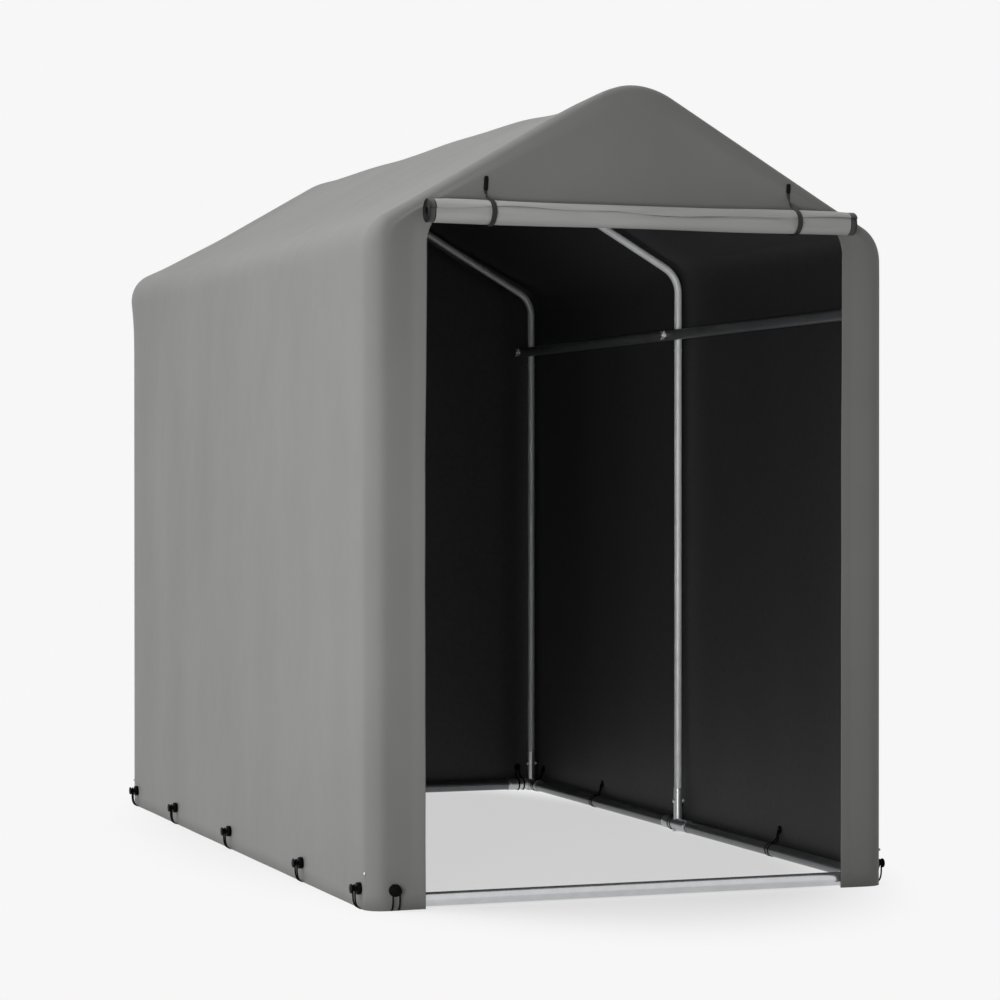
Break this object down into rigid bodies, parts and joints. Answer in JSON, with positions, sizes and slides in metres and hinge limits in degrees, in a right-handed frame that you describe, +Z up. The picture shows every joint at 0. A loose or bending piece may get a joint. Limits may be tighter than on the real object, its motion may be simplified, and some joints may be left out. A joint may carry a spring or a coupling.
{
  "type": "bike shelter",
  "caption": "Gabled walk-in storage tent for bikes: a fitted cloth cover with a rolled-up door, stretched over a frame of steel tube arches.",
  "frame": {"origin": "middle of the shelter's footprint, on the ground", "axes": "+Z up; the doorway faces -Y; +X is to the right of someone who looks in through the doorway"},
  "size_m": [1.429, 2.628, 2.0114],
  "materials": {
    "galvanised_tube": "satin galvanised",
    "galvanised_fitting": "satin galvanised",
    "zinc_bolt": "bright zinc",
    "cover_cloth": "matt coated cloth, black inside",
    "door_cloth": "matt coated cloth",
    "black_webbing": "woven webbing",
    "black_plastic": "moulded",
    "black_elastic": "covered elastic cord"
  },
  "bodies": {
    "root": {"front_sill_rail": "galvanised_tube", "back_bottom_rail": "galvanised_tube", "left_bottom_rails": "galvanised_tube", "right_bottom_rails": "galvanised_tube", "front_left_fitting": "galvanised_fitting", "front_right_fitting": "galvanised_fitting", "back_left_fitting": "galvanised_fitting", "back_right_fitting": "galvanised_fitting", "middle_left_fitting": "galvanised_fitting", "middle_right_fitting": "galvanised_fitting", "front_left_upright": "galvanised_tube", "front_right_upright": "galvanised_tube", "middle_left_upright": "galvanised_tube", "middle_right_upright": "galvanised_tube", "back_left_upright": "galvanised_tube", "back_right_upright": "galvanised_tube", "front_left_rafter": "galvanised_tube", "front_right_rafter": "galvanised_tube", "middle_left_rafter": "galvanised_tube", "middle_right_rafter": "galvanised_tube", "back_left_rafter": "galvanised_tube", "back_right_rafter": "galvanised_tube", "front_crown": "galvanised_fitting", "middle_crown": "galvanised_fitting", "back_crown": "galvanised_fitting", "left_side_rail": "galvanised_tube", "right_side_rail": "galvanised_tube", "ridge_rail": "galvanised_tube", "wing_bolts": "zinc_bolt", "left_wall": "cover_cloth", "right_wall": "cover_cloth", "back_wall": "cover_cloth", "left_roof": "cover_cloth", "right_roof": "cover_cloth", "front_gable": "cover_cloth", "left_door_flap": "cover_cloth", "right_door_flap": "cover_cloth", "rolled_door": "door_cloth", "door_straps": "black_webbing", "left_tie_buttons": "black_plastic", "right_tie_buttons": "black_plastic", "back_tie_buttons": "black_plastic", "left_tie_loops": "black_elastic", "right_tie_loops": "black_elastic", "back_tie_loops": "black_elastic"}
  },
  "joints": []
}
